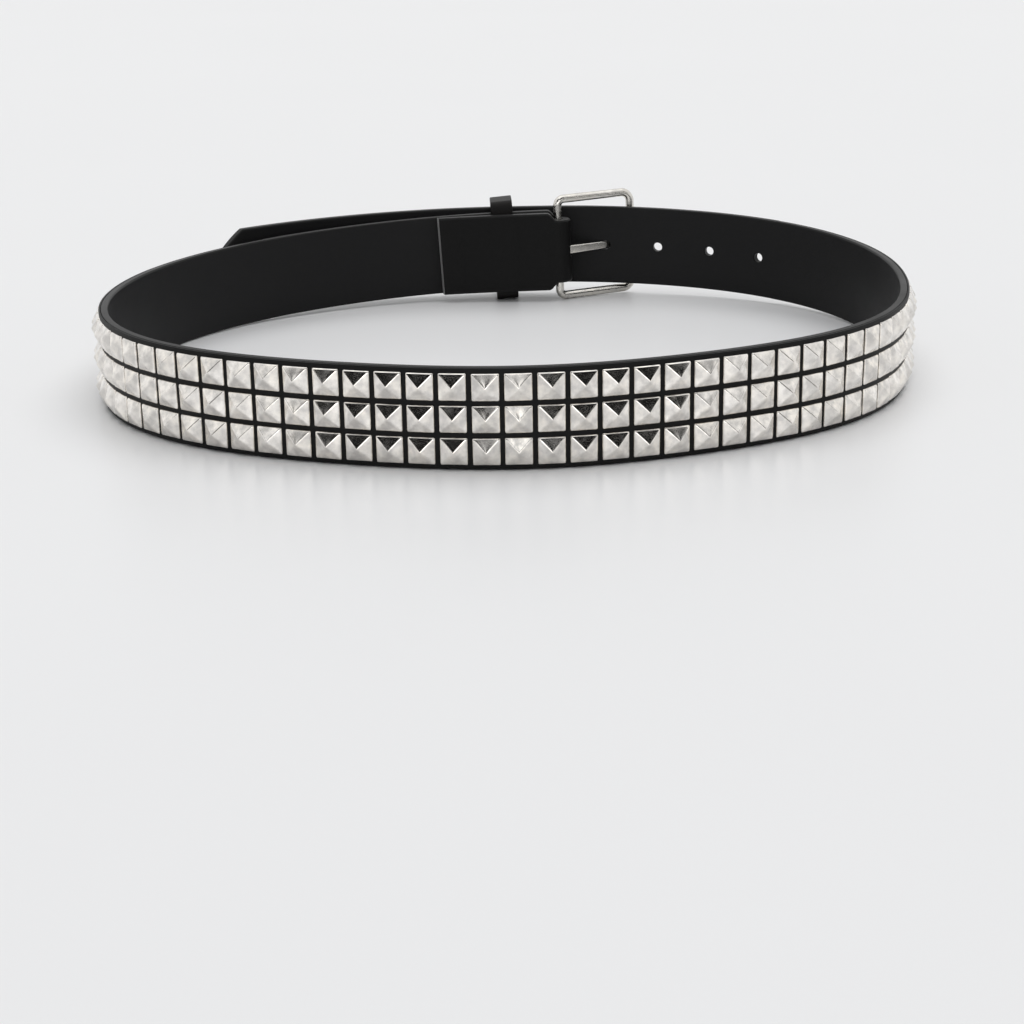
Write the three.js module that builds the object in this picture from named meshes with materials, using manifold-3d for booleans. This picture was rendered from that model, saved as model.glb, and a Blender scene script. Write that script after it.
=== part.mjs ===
// A studded belt, fastened, standing on its edge. Millimetres, +Z up.
// The strap is one strip: its buckle end folds round the heel bar, and its hole end passes
// through the frame, over the fold and through the keeper, and springs away as a tail.
import * as THREE from 'three';
import { mergeGeometries, mergeVertices } from 'three/addons/utils/BufferGeometryUtils.js';
import Module from 'manifold-3d';

const wasm = await Module();
wasm.setup();

// Strap
const strapWidth = 38;
const strapThickness = 3.9;
const edgeBevel = 0.5;
const loopRadius = 157.5;          // mean radius of the loop's outer face
const barBearing = 81;             // degrees round the loop where the heel bar lies
const loopWaves = [                // shares of loopRadius that turn the circle into the belt's oval
  { waves: 2, cosine: 0.0851, sine: 0.034 },
  { waves: 3, cosine: -0.0102, sine: 0.0069 },
  { waves: 4, cosine: -0.011, sine: 0.0095 },
  { waves: 5, cosine: -0.0067, sine: -0.005 },
  { waves: 6, cosine: -0.0081, sine: -0.0023 },
];
const fitGap = 0.3;                // between pieces that touch on the real belt

// Buckle end, folded round the heel bar
const foldLength = 60;             // bar to the end of the returned layer
const foldNotch = 3.6;             // how much each edge is cut back where the strap wraps the bar
const notchBlend = 5;
const leftInset = 1;
const leftInsetReach = 145;
const leftLiftReach = 220;

// Hole end, over the bar and on as the tail
const tailGap = 4.9;               // between the buckle end and the tail that lies over it
const rightOffsetReach = 165;
const rightRide = 0.2;             // how much higher the hole end rides than the buckle end
const rightLiftReach = 200;
const tailLength = 169;
const tailSpring = 6.5;            // how far the tail's tip springs away from the loop
const tailDroop = 1.4;             // how much lower the tail's tip hangs
const tipShoulderAngle = 34;       // degrees from the strap's line at the start of the tip
const tipNoseAngle = 56;
const tipNoseWidth = 8;

// Punched holes
const holeDiameter = 4.4;
const holeSpacing = 25.4;
const holesEachSide = 3;           // on each side of the one the prong is in
const prongHoleDistance = 22.8;    // from the heel bar

// Studs and the facing that they are set in
const studSize = 10.3;
const studHeight = 3.4;
const studLip = 0.7;               // upright edge of a stud below its slopes
const columnGap = 1.45;            // between studs along the strap
const rowGap = 1.6;                // between rows across it
const studEdgeClear = 1.5;         // least leather outside the outer rows
const studHoleClear = 8;           // least leather between the outermost hole and the studs
const facingThickness = 0.8;
const studRoot = 0.4;              // how deep a stud is set into the facing
const facingMargin = 1.2;          // facing past the outermost studs

// Buckle
const rodDiameter = 4;
const frameSlack = 3.5;            // above the strap, inside the frame
const framePitch = 38.6;           // heel bar to far bar, centre to centre
const heelCorner = 3.2;            // radius of the rod's middle line
const farCorner = 4.6;
const strapRest = 1.6;             // strap's edge above the lower rod
const prongWidth = 4.2;
const prongThickness = 1.9;
const prongReach = 3.2;            // past the far bar
const prongTaper = 0.8;            // thickness at the point, as a share of the thickness at the bar
const hookStart = -30;             // degrees round the bar, from the arm's line
const hookEnd = 135;
const slotGap = 0.5;               // between the prong and the leather beside it

// Keeper
const keeperDistance = 26.9;       // from the heel bar
const keeperTilt = 3.2;            // degrees that it sits askew, its top towards the tail's tip
const keeperWidth = 10.5;
const keeperWall = 1.7;
const keeperCorner = 2.6;
const keeperSlack = 0.6;           // over the tail
const keeperHeadroom = 2.6;        // above the strap, inside the keeper

// Fineness of the faceted surfaces
const loopSteps = 1440;
const wrapSteps = 10;
const rodSides = 12;
const rodCornerSteps = 6;
const keeperCornerSteps = 4;
const holeSides = 12;
const hookSegments = 14;
const tangentStep = 0.5;
const mergeTolerance = 1e-4;

const radians = THREE.MathUtils.degToRad;
const worldUp = new THREE.Vector3(0, 0, 1);
const halfWidth = strapWidth / 2;
const rodRadius = rodDiameter / 2;
const barGrip = rodRadius + fitGap;
const leftLift = rodDiameter + strapRest;
const rightLift = leftLift + rightRide;
const rightOffset = strapThickness + tailGap;
const frameHeight = strapRest + rightRide + strapWidth + frameSlack + 2 * rodDiameter;
const keeperHeight = rightLift + strapWidth + keeperHeadroom + keeperWall;
const studPitch = studSize + columnGap;
const rowPitch = studSize + rowGap;
const studRows = Math.floor((strapWidth - 2 * studEdgeClear + rowGap) / rowPitch);

// The loop's outer face: radius and slope at an angle, and its length round from the heel bar
function loopRadiusAt(angle) {
  let share = 1;
  let slope = 0;
  for (const { waves, cosine, sine } of loopWaves) {
    share += cosine * Math.cos(waves * angle) + sine * Math.sin(waves * angle);
    slope += waves * (sine * Math.cos(waves * angle) - cosine * Math.sin(waves * angle));
  }
  return { radius: loopRadius * share, slope: loopRadius * slope };
}

function measureLoop() {
  const start = radians(barBearing);
  const lengths = [0];
  for (let i = 1; i <= loopSteps; i += 1) {
    const { radius, slope } = loopRadiusAt(start + ((i - 0.5) / loopSteps) * 2 * Math.PI);
    lengths.push(lengths[i - 1] + (Math.hypot(radius, slope) * 2 * Math.PI) / loopSteps);
  }
  return { start, lengths };
}

const loop = measureLoop();
const loopLength = loop.lengths[loopSteps];

function loopAngleAt(distance) {
  const wrapped = ((distance % loopLength) + loopLength) % loopLength;
  let low = 0;
  let high = loopSteps;
  while (high - low > 1) {
    const middle = (low + high) >> 1;
    if (loop.lengths[middle] > wrapped) high = middle;
    else low = middle;
  }
  const part = (wrapped - loop.lengths[low]) / (loop.lengths[high] - loop.lengths[low]);
  return loop.start + ((low + part) / loopSteps) * 2 * Math.PI;
}

function distanceAtBearing(degrees) {
  const turned = ((((radians(degrees) - loop.start) / (2 * Math.PI)) % 1) + 1) % 1;
  return loop.lengths[Math.round(turned * loopSteps)];
}

// Falls from 1 to 0 with a level end; ease 2 also starts level, ease 1 starts on a slope
function fade(share, ease) {
  const t = Math.min(Math.max(share, 0), 1);
  return (1 - t) ** 2 * (1 + ease * t);
}

function tailShare(distance) {
  return (distance - loopLength) / tailLength;
}

function sideways(distance) {
  if (distance > loopLength) return rightOffset + tailSpring * tailShare(distance) ** 2;
  return rightOffset * fade((loopLength - distance) / rightOffsetReach, 2)
    - leftInset * fade(distance / leftInsetReach, 2);
}

function lift(distance) {
  if (distance > loopLength) return rightLift - tailDroop * tailShare(distance) ** 2;
  return rightLift * fade((loopLength - distance) / rightLiftReach, 2)
    + leftLift * fade(distance / leftLiftReach, 1);
}

// A point in the middle of the strap's outer face, at a distance along it from the heel bar
function facePoint(distance) {
  const angle = loopAngleAt(distance);
  const { radius, slope } = loopRadiusAt(angle);
  const [c, s] = [Math.cos(angle), Math.sin(angle)];
  const along = new THREE.Vector3(slope * c - radius * s, slope * s + radius * c, 0).normalize();
  const out = new THREE.Vector3(along.y, -along.x, 0);
  return new THREE.Vector3(radius * c, radius * s, lift(distance) + halfWidth)
    .addScaledVector(out, sideways(distance));
}

// The axes at a place on the strap: along it, out of its finished face, and up across it
function axesFrom(before, after) {
  const along = after.clone().sub(before).normalize();
  const out = new THREE.Vector3().crossVectors(along, worldUp).normalize();
  return { along, out, up: new THREE.Vector3().crossVectors(out, along).normalize() };
}

function strapStation(distance) {
  const before = facePoint(Math.max(distance - tangentStep, 0));
  return { point: facePoint(distance), ...axesFrom(before, facePoint(distance + tangentStep)) };
}

const bar = strapStation(0);
bar.centre = bar.point.clone().addScaledVector(bar.out, -strapThickness - barGrip);
bar.right = bar.along.clone().negate();
const wrapLength = Math.PI * (barGrip + strapThickness);

// The returned layer closes from the bar's thickness to nearly nothing at its end
function layerGap(distance) {
  return fitGap + (2 * barGrip - fitGap) * (1 - (distance / foldLength) ** 2);
}

function returnPoint(distance) {
  const { point, out } = strapStation(distance);
  return point.clone().addScaledVector(out, -2 * strapThickness - layerGap(distance));
}

// The whole strap: below zero it wraps the bar, and before that it is the returned layer
function station(distance) {
  if (distance >= 0) return strapStation(distance);
  if (distance >= -wrapLength) {
    const turn = Math.PI / 2 + (Math.PI * distance) / wrapLength;
    const out = bar.right.clone().multiplyScalar(Math.cos(turn))
      .addScaledVector(bar.out, Math.sin(turn));
    const along = bar.right.clone().multiplyScalar(-Math.sin(turn))
      .addScaledVector(bar.out, Math.cos(turn));
    const point = bar.centre.clone().addScaledVector(out, barGrip + strapThickness);
    return { point, along, out, up: bar.up };
  }
  const back = -wrapLength - distance;
  const before = returnPoint(Math.min(back + tangentStep, foldLength));
  const after = returnPoint(Math.max(back - tangentStep, 0));
  return { point: returnPoint(back), ...axesFrom(before, after) };
}

// Half the strap's width: cut back at the fold, and drawn in to the tail's tip
const tip = (() => {
  const [shoulder, nose] = [radians(tipShoulderAngle), radians(tipNoseAngle)];
  const sideRadius = (halfWidth - tipNoseWidth / 2) / (Math.cos(shoulder) - Math.cos(nose));
  const noseRadius = tipNoseWidth / 2 / Math.cos(nose);
  const sideLength = sideRadius * (Math.sin(nose) - Math.sin(shoulder));
  const noseLength = noseRadius * (1 - Math.sin(nose));
  return { shoulder, nose, sideRadius, noseRadius, sideLength, noseLength };
})();
const tipLength = tip.sideLength + tip.noseLength;
const tailEnd = loopLength + tailLength;

function tipHalfWidth(fromEnd) {
  if (fromEnd >= tip.noseLength) {
    const run = tipLength - fromEnd + tip.sideRadius * Math.sin(tip.shoulder);
    const fall = tip.sideRadius * Math.cos(tip.shoulder) - Math.sqrt(tip.sideRadius ** 2 - run ** 2);
    return halfWidth - fall;
  }
  return Math.sqrt(tip.noseRadius ** 2 - (tip.noseRadius - fromEnd) ** 2);
}

function halfWidthAt(distance) {
  const fromEnd = tailEnd - distance;
  if (fromEnd < tipLength) return tipHalfWidth(fromEnd);
  const fromWrap = Math.max(Math.abs(distance + wrapLength / 2) - wrapLength / 2, 0);
  return halfWidth - foldNotch * fade(fromWrap / notchBlend, 2);
}

// The strap's section, from depth `skin` inward, as a ring of points round it
function sectionRing({ point, out, up }, half, skin, depth, bevel) {
  const outerBevel = skin > 0 ? bevel / 2 : bevel;
  const corners = [
    [skin, half - outerBevel], [skin + outerBevel, half],
    [depth - bevel, half], [depth, half - bevel],
  ];
  const place = (inward, height) => point.clone().addScaledVector(out, -inward).addScaledVector(up, height);
  const upper = corners.map(([inward, height]) => place(inward, height));
  const lower = corners.map(([inward, height]) => place(inward, -height)).reverse();
  return [...upper, ...lower];
}

// Joins rings of points into one closed mesh, with flat ends unless the last meets the first
function skinRings(rings, closed) {
  const count = rings[0].length;
  const positions = rings.flat().flatMap((p) => [p.x, p.y, p.z]);
  const faces = [];
  const spans = closed ? rings.length : rings.length - 1;
  for (let i = 0; i < spans; i += 1) {
    const [here, next] = [i * count, ((i + 1) % rings.length) * count];
    for (let j = 0; j < count; j += 1) {
      const k = (j + 1) % count;
      faces.push(here + j, here + k, next + k, here + j, next + k, next + j);
    }
  }
  if (!closed) {
    const last = (rings.length - 1) * count;
    for (let j = 1; j < count - 1; j += 1) {
      faces.push(0, j + 1, j, last, last + j, last + j + 1);
    }
  }
  const geometry = new THREE.BufferGeometry();
  geometry.setAttribute('position', new THREE.Float32BufferAttribute(positions, 3));
  geometry.setIndex(faces);
  return geometry;
}

function signedVolume(points, faces) {
  const [a, b, c] = [0, 1, 2].map(() => new THREE.Vector3());
  let volume = 0;
  for (let i = 0; i < faces.length; i += 3) {
    a.fromArray(points, 3 * faces[i]);
    b.fromArray(points, 3 * faces[i + 1]);
    c.fromArray(points, 3 * faces[i + 2]);
    volume += a.dot(b.cross(c)) / 6;
  }
  return volume;
}

// A three.js geometry as a solid: shared corners merged, empty faces dropped, faces outward
function toSolid(geometry) {
  const bare = new THREE.BufferGeometry();
  bare.setAttribute('position', geometry.getAttribute('position').clone());
  if (geometry.index) bare.setIndex(geometry.index.clone());
  const merged = mergeVertices(bare, mergeTolerance);
  const points = Float32Array.from(merged.getAttribute('position').array);
  const faces = [];
  for (let i = 0; i < merged.index.count; i += 3) {
    const [a, b, c] = [0, 1, 2].map((j) => merged.index.getX(i + j));
    if (a !== b && b !== c && c !== a) faces.push(a, b, c);
  }
  if (signedVolume(points, faces) < 0) faces.reverse();
  return new wasm.Manifold(new wasm.Mesh({
    numProp: 3, vertProperties: points, triVerts: Uint32Array.from(faces),
  }));
}

function toGeometry(solid) {
  const { vertProperties, triVerts } = solid.getMesh();
  const geometry = new THREE.BufferGeometry();
  geometry.setAttribute('position', new THREE.BufferAttribute(Float32Array.from(vertProperties), 3));
  geometry.setIndex(new THREE.BufferAttribute(Uint32Array.from(triVerts), 1));
  geometry.computeVertexNormals();
  return geometry;
}

function evenSteps(from, to, longest) {
  const count = Math.max(1, Math.ceil((to - from) / longest));
  return Array.from({ length: count }, (_, i) => from + ((to - from) * i) / count);
}

// Stud columns, counted from the middle of the front
const frontMiddle = distanceAtBearing(270);
const plainStretch = prongHoleDistance + holesEachSide * holeSpacing + studHoleClear;
const studdedHalf = Math.min(frontMiddle, loopLength - frontMiddle) - plainStretch - facingMargin;
const columnsEachSide = Math.floor(studdedHalf / studPitch - 0.5);
const columns = Array.from(
  { length: 2 * columnsEachSide + 1 },
  (_, i) => frontMiddle + (i - columnsEachSide) * studPitch,
);
const facingReach = (columnsEachSide + 0.5) * studPitch + facingMargin;
const facingStart = frontMiddle - facingReach;
const facingEnd = frontMiddle + facingReach;
const seams = [
  facingStart, ...columns.map((middle) => middle - studPitch / 2),
  frontMiddle + (columnsEachSide + 0.5) * studPitch, facingEnd,
];

// The prong's line: from the bar's middle through the middle of its hole
const prongHole = strapStation(loopLength - prongHoleDistance);
const holeMiddle = prongHole.point.clone().addScaledVector(prongHole.out, -strapThickness / 2);
const prongLevel = holeMiddle.clone().sub(bar.centre).dot(bar.up);
const prongLine = holeMiddle.clone().sub(bar.centre).addScaledVector(bar.up, -prongLevel);
const prongAngle = Math.atan2(prongLine.dot(bar.out), prongLine.dot(bar.right));
const frameLean = prongAngle
  - Math.asin((rodRadius + fitGap + prongThickness / 2) / framePitch);

// Places a shape drawn with x away from the bar, y out of the belt and z up along the bar
function barPlacement(turn, level) {
  const x = bar.right.clone().multiplyScalar(Math.cos(turn)).addScaledVector(bar.out, Math.sin(turn));
  const y = new THREE.Vector3().crossVectors(bar.up, x);
  const origin = bar.centre.clone().addScaledVector(bar.up, level);
  return new THREE.Matrix4().makeBasis(x, y, bar.up).setPosition(origin);
}

// The prong: a hook round the bar and a straight arm, grown by `gap` for the cut it needs
function prongGeometry(gap) {
  const arm = new THREE.Shape();
  const half = prongThickness / 2 + gap;
  const end = framePitch + prongReach + gap;
  const root = barGrip + prongThickness / 2;
  const point = half * prongTaper;
  arm.moveTo(root, -half);
  arm.lineTo(end - half, -point);
  arm.absarc(end - half, 0, point, -Math.PI / 2, Math.PI / 2, false);
  arm.lineTo(root, half);
  arm.closePath();
  const [first, last] = [radians(hookStart), radians(hookEnd)];
  const hook = new THREE.Shape();
  hook.absarc(0, 0, barGrip + prongThickness + gap, first, last, false);
  hook.absarc(0, 0, barGrip, last, first, true);
  hook.closePath();
  const depth = prongWidth + 2 * gap;
  const options = { depth, bevelEnabled: false, curveSegments: hookSegments };
  const pieces = [arm, hook].map((shape) => (
    toSolid(new THREE.ExtrudeGeometry(shape, options).translate(0, 0, -depth / 2))));
  return toGeometry(pieces[0].add(pieces[1]));
}

function holeCutter(distance) {
  const { point, out } = strapStation(distance);
  const middle = point.clone().addScaledVector(out, -strapThickness / 2);
  const holeRadius = holeDiameter / 2;
  const drill = new THREE.CylinderGeometry(holeRadius, holeRadius, 2 * strapThickness, holeSides);
  const turn = new THREE.Quaternion().setFromUnitVectors(new THREE.Vector3(0, 1, 0), out);
  return drill.applyQuaternion(turn).translate(middle.x, middle.y, middle.z);
}

// A straight slot through the wrap and the outer layer, where the prong's hook passes
function slotCutter() {
  const reach = barGrip + strapThickness + slotGap;
  const left = barGrip + prongThickness + slotGap;
  const slot = new THREE.BoxGeometry(reach + left, reach + barGrip, prongWidth + 2 * slotGap);
  slot.translate((reach - left) / 2, (reach - barGrip) / 2, 0);
  return slot.applyMatrix4(barPlacement(0, prongLevel));
}

function makeStrap() {
  const plain = [
    ...evenSteps(-wrapLength - foldLength, -wrapLength - notchBlend, studPitch),
    ...evenSteps(-wrapLength - notchBlend, -wrapLength, notchBlend / 2),
    ...evenSteps(-wrapLength, 0, wrapLength / wrapSteps),
    ...evenSteps(0, notchBlend, notchBlend / 2),
    ...evenSteps(notchBlend, facingStart - fitGap, studPitch),
  ];
  const tail = [
    ...evenSteps(facingEnd + fitGap, tailEnd - tipLength, studPitch),
    ...evenSteps(tailEnd - tipLength, tailEnd - tip.noseLength, tip.sideLength / 6),
    ...evenSteps(tailEnd - tip.noseLength, tailEnd, tip.noseLength / 3),
  ];
  const ring = (distance, skin) => sectionRing(
    station(distance), halfWidthAt(distance), skin, strapThickness, edgeBevel,
  );
  const recess = facingThickness + fitGap;
  const [recessStart, recessEnd] = [facingStart - fitGap, facingEnd + fitGap];
  const rings = [
    ...plain.map((distance) => ring(distance, 0)), ring(recessStart, 0), ring(recessStart, recess),
    ...seams.map((distance) => ring(distance, recess)), ring(recessEnd, recess),
    ...tail.map((distance) => ring(distance, 0)),
  ];
  let strap = toSolid(skinRings(rings, false));
  for (let i = -holesEachSide; i <= holesEachSide; i += 1) {
    const distance = loopLength - prongHoleDistance - i * holeSpacing;
    strap = strap.subtract(toSolid(holeCutter(distance)));
  }
  const prongCut = prongGeometry(slotGap).applyMatrix4(barPlacement(prongAngle, prongLevel));
  return toGeometry(strap.subtract(toSolid(slotCutter())).subtract(toSolid(prongCut)));
}

// One stud: a square pyramid on an upright lip, with its root below zero
function studGeometry() {
  const corner = studSize / Math.SQRT2;
  const profile = [[0, -studRoot], [corner, -studRoot], [corner, studLip], [0, studHeight]];
  const stud = new THREE.LatheGeometry(profile.map(([x, y]) => new THREE.Vector2(x, y)), 4);
  stud.deleteAttribute('uv');
  stud.deleteAttribute('normal');
  return mergeVertices(stud.rotateY(Math.PI / 4), mergeTolerance);
}

function makeStudField() {
  const facing = skinRings(seams.map((distance) => sectionRing(
    station(distance), halfWidth, 0, facingThickness + edgeBevel, edgeBevel,
  )), false);
  const shave = skinRings([facingStart - studPitch, ...seams, facingEnd + studPitch].map(
    (distance) => sectionRing(station(distance), strapWidth, facingThickness, strapThickness, 0),
  ), false);
  const studs = [];
  for (const distance of columns) {
    const { point, along, out, up } = strapStation(distance);
    for (let row = 0; row < studRows; row += 1) {
      const height = (row - (studRows - 1) / 2) * rowPitch;
      const seat = point.clone().addScaledVector(up, height);
      const placement = new THREE.Matrix4().makeBasis(up, out, along).setPosition(seat);
      studs.push(studGeometry().applyMatrix4(placement));
    }
  }
  const strip = toSolid(facing).subtract(toSolid(shave));
  return toGeometry(strip.add(toSolid(mergeGeometries(studs))));
}

// Points round a rounded rectangle from the middle of its left side, with their outward directions
function roundedLoop(width, height, leftRadius, rightRadius, turns) {
  const corners = [
    { x: leftRadius, y: height / 2 - leftRadius, radius: leftRadius, from: 180 },
    { x: width - rightRadius, y: height / 2 - rightRadius, radius: rightRadius, from: 90 },
    { x: width - rightRadius, y: rightRadius - height / 2, radius: rightRadius, from: 0 },
    { x: leftRadius, y: leftRadius - height / 2, radius: leftRadius, from: -90 },
  ];
  return corners.flatMap(({ x, y, radius, from }) => Array.from({ length: turns + 1 }, (_, i) => {
    const angle = radians(from - (90 * i) / turns);
    const away = { x: Math.cos(angle), y: Math.sin(angle) };
    return { x: x + radius * away.x, y: y + radius * away.y, away };
  }));
}

// The buckle frame: a round rod bent to a rounded rectangle, drawn with z along the heel bar
function makeBuckleFrame() {
  const height = frameHeight - rodDiameter;
  const rings = roundedLoop(framePitch, height, heelCorner, farCorner, rodCornerSteps).map(
    ({ x, y, away }) => Array.from({ length: rodSides }, (_, i) => {
      const angle = (2 * Math.PI * i) / rodSides;
      const [outward, across] = [rodRadius * Math.cos(angle), rodRadius * Math.sin(angle)];
      return new THREE.Vector3(x + outward * away.x, across, y + outward * away.y);
    }),
  );
  return toGeometry(toSolid(skinRings(rings, true)));
}

// The keeper: a closed leather band round the strap's outer layer and the tail
function makeKeeper() {
  const here = strapStation(keeperDistance);
  const tailHere = strapStation(loopLength + keeperDistance);
  const tailOut = tailHere.point.clone().sub(here.point).dot(here.out);
  const inner = -strapThickness - 2 * fitGap - keeperWall;
  const depth = tailOut + keeperSlack + keeperWall - inner;
  const level = keeperHeight / 2 - here.point.z;
  const askew = new THREE.Quaternion().setFromAxisAngle(here.out, -radians(keeperTilt));
  const rise = worldUp.clone().applyQuaternion(askew);
  const across = here.along.clone().applyQuaternion(askew);
  const rings = roundedLoop(depth, keeperHeight, keeperCorner, keeperCorner, keeperCornerSteps).map(
    ({ x, y, away }) => [[0, -1], [keeperWall, -1], [keeperWall, 1], [0, 1]].map(([sunk, side]) => (
      here.point.clone()
        .addScaledVector(here.out, inner + x - sunk * away.x)
        .addScaledVector(worldUp, level)
        .addScaledVector(rise, y - sunk * away.y)
        .addScaledVector(across, (side * keeperWidth) / 2))),
  );
  return toGeometry(toSolid(skinRings(rings, true)));
}

const materials = {
  leather: new THREE.MeshStandardMaterial({ color: 0x1b1b1d, roughness: 0.55, metalness: 0 }),
  studMetal: new THREE.MeshStandardMaterial({ color: 0xd9d4cc, roughness: 0.25, metalness: 1 }),
  buckleMetal: new THREE.MeshStandardMaterial({ color: 0xc4c1ba, roughness: 0.22, metalness: 1 }),
};

function part(name, geometry, material) {
  const mesh = new THREE.Mesh(geometry, material);
  mesh.name = name;
  return mesh;
}

function standOnFloor(mesh) {
  mesh.position.z -= new THREE.Box3().setFromObject(mesh, true).min.z;
  return mesh;
}

const belt = new THREE.Group();
belt.add(part('strap', makeStrap(), materials.leather));
belt.add(part('stud_field', makeStudField(), materials.studMetal));
belt.add(standOnFloor(part('keeper', makeKeeper(), materials.leather)));

const frame = part('buckle_frame', makeBuckleFrame(), materials.buckleMetal);
frame.applyMatrix4(barPlacement(frameLean, 0));
belt.add(standOnFloor(frame));

const prong = part('prong', prongGeometry(0), materials.buckleMetal);
prong.applyMatrix4(barPlacement(prongAngle, prongLevel));
belt.add(prong);

// The origin is on the floor, under the middle of the whole belt
const extent = new THREE.Box3().setFromObject(belt, true);
const middle = extent.getCenter(new THREE.Vector3());
belt.position.set(-middle.x, -middle.y, -extent.min.z);

export default belt;
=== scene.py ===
"""A fastened studded belt that stands on its edge, with its floor, lights and camera."""

import math
import random

import bmesh
import bpy
from bpy.props import FloatProperty, FloatVectorProperty, IntProperty, PointerProperty
from mathutils import Matrix, Quaternion, Vector


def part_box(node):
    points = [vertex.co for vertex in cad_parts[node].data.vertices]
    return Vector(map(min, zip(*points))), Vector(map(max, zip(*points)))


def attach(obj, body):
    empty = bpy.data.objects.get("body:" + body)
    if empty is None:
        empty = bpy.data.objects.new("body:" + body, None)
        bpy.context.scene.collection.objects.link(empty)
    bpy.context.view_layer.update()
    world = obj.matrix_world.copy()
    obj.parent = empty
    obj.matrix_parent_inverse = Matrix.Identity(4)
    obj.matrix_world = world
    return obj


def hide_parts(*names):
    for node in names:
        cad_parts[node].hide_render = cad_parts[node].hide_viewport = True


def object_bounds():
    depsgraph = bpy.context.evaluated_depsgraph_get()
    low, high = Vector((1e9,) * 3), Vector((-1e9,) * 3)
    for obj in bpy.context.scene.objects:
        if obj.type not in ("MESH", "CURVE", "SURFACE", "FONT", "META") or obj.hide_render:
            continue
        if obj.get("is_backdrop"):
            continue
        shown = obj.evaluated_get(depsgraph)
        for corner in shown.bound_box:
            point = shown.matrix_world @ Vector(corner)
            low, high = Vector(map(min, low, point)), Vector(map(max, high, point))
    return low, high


bl_info = {
    "name": "Studded Belt",
    "version": (1, 0, 0),
    "blender": (4, 5, 0),
    "location": "View3D > Sidebar > Belt",
    "description": "Makes a fastened leather belt with pyramid studs, a rod buckle and a keeper",
    "category": "Add Mesh",
}

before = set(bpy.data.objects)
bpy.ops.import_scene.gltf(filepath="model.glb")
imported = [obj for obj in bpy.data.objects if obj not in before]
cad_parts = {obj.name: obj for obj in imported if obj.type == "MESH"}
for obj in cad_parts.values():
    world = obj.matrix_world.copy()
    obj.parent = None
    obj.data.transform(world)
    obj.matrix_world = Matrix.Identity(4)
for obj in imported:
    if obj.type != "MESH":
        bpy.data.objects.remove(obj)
CAD_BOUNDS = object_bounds()
MM = 0.001
UP = Vector((0, 0, 1))

# Shares of the loop's radius that turn the circle into the belt's oval: waves round it, cosine, sine
LOOP_WAVES = (
    (2, 0.0851, 0.034),
    (3, -0.0102, 0.0069),
    (4, -0.011, 0.0095),
    (5, -0.0067, -0.005),
    (6, -0.0081, -0.0023),
)
LOOP_STEPS = 1440
FRONT_BEARING = math.radians(270)
TANGENT_STEP = 0.5 * MM
SQUARE = ((-1, -1), (1, -1), (1, 1), (-1, 1))

# Longest steps along the strap, and how many steps go round bends and across faces
LONG_STEP = 2.5 * MM
FINE_STEP = 0.8 * MM
TIP_STEP = 1 * MM
NOSE_STEP = 0.2 * MM
WRAP_STEPS = 28
HOOK_STEPS = 36
HOLE_SIDES = 40
ROD_SIDES = 28
STRAP_FACE_STEPS = 8
FACING_FACE_STEPS = 12

# Creases of the returned layer, the slant of its cut end, and the bed that the facing lies in
CREASE_DEPTH = 0.22 * MM
CREASE_WIDTH = 1.1 * MM
CUT_SLANT = 0.9 * MM
BED_CLEARANCE = 0.15 * MM
BED_ROUND = 0.25 * MM
STUD_SEED = 7

# Leathers: colour, roughness, specular level, pebbles a metre, depth of the pebbles
LEATHERS = {
    "lining_leather": ("lining", 0.52, 0.20, 1500, 0.00006),
    "outer_leather": ("facing", 0.46, 0.14, 1300, 0.00009),
    "edge_paint": ("edge_paint", 0.42, 0.16, 600, 0.00003),
    "raw_cut": ("raw_cut", 0.85, 0.20, 3000, 0.0001),
    "facing_leather": ("facing", 0.50, 0.16, 1300, 0.00009),
    "keeper_leather": ("keeper", 0.50, 0.20, 1300, 0.00009),
}
# Plated metals: colour, roughness, how much darker the clouded patches are
PLATES = {
    "stud_plate": ("studs", 0.13, 0.26),
    "buckle_plate": ("buckle", 0.20, 0.14),
    "prong_plate": ("buckle", 0.20, 0.10),
}


def length(name, description, millimetres):
    """A size in metres, with its default given in millimetres."""
    return FloatProperty(
        name=name, description=description, default=millimetres * MM, unit="LENGTH", precision=5
    )


def turn(name, description, degrees):
    """An angle, with its default given in degrees."""
    return FloatProperty(
        name=name, description=description, default=math.radians(degrees), unit="ROTATION"
    )


def amount(name, description, value):
    """A plain number."""
    return FloatProperty(name=name, description=description, default=value)


def tint(name, description, colour):
    """A linear colour."""
    return FloatVectorProperty(
        name=name, description=description, default=colour, size=3, min=0, max=1, subtype="COLOR"
    )


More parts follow.
